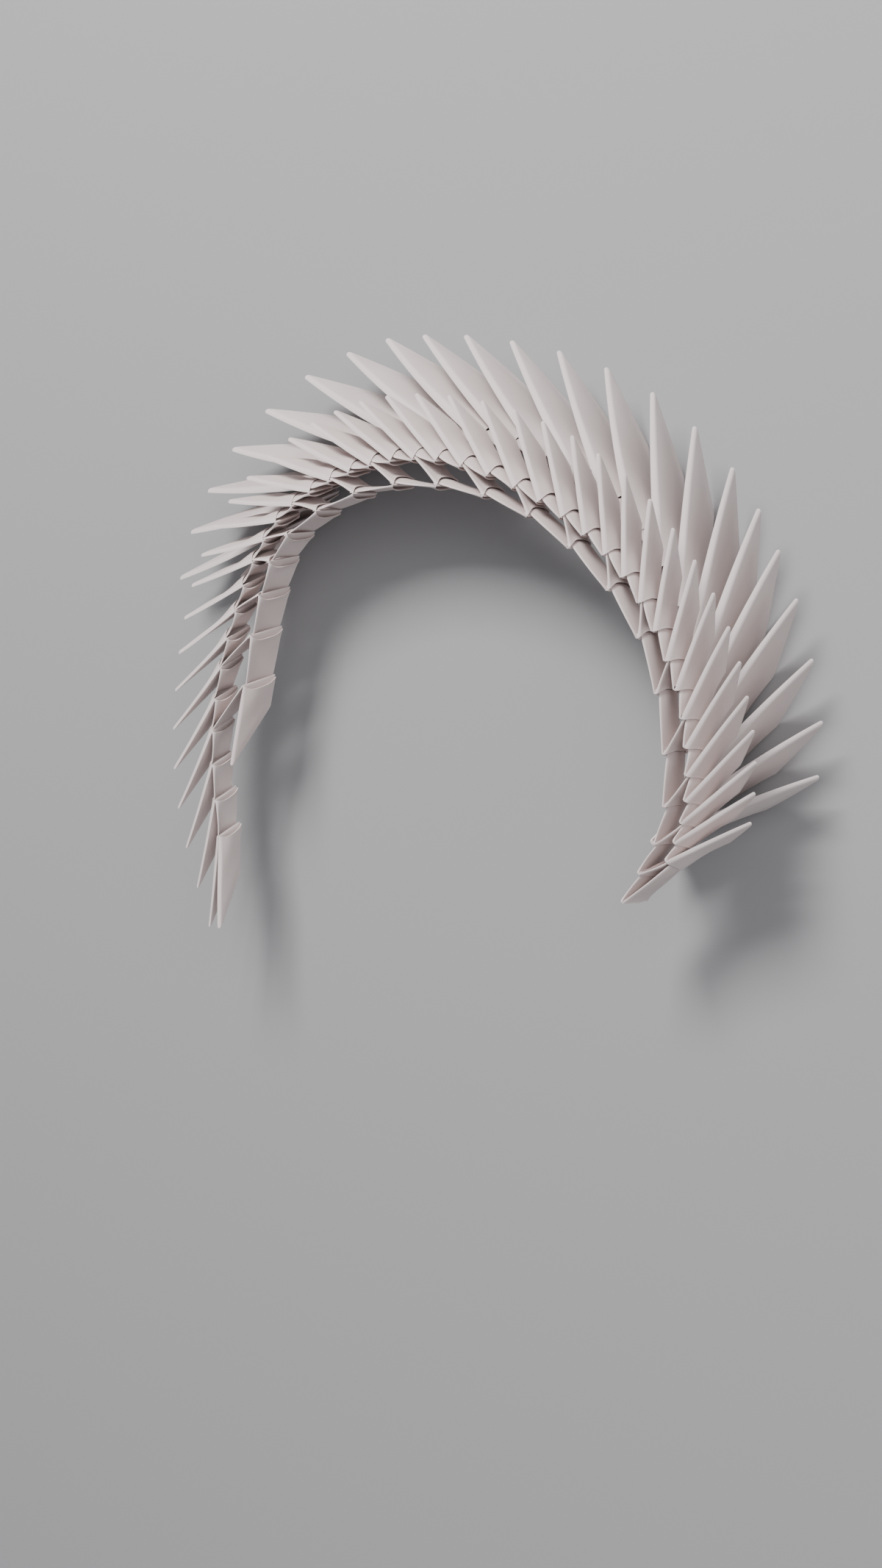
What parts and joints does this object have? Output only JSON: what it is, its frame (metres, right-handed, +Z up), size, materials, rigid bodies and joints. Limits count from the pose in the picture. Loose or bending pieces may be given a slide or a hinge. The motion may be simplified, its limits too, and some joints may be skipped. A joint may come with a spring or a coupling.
{
  "type": "origami headpiece",
  "caption": "Open arched headpiece of interlocked folded-card modules in rows, with short and long pointed spikes fanning outward.",
  "frame": {"origin": "under the middle of the whole piece, on the surface that it lies on", "axes": "+X across the head towards the wearer's left, +Y from the open ends of the arch to its crown, +Z up from the surface towards the edge that faces forward when worn"},
  "size_m": [0.2682, 0.2138, 0.0409],
  "materials": {
    "inner_card": "matte",
    "middle_card": "matte",
    "outer_card": "matte"
  },
  "bodies": {
    "root": {"inner_row_1": "inner_card", "inner_row_2": "inner_card", "inner_row_3": "inner_card", "inner_row_4": "inner_card", "middle_row_1": "middle_card", "middle_row_2": "middle_card", "middle_row_3": "middle_card", "middle_row_4": "middle_card", "middle_row_5": "middle_card", "middle_row_6": "middle_card", "outer_row_1": "outer_card", "outer_row_2": "outer_card", "outer_row_3": "outer_card", "outer_row_4": "outer_card", "outer_row_5": "outer_card"}
  },
  "joints": []
}
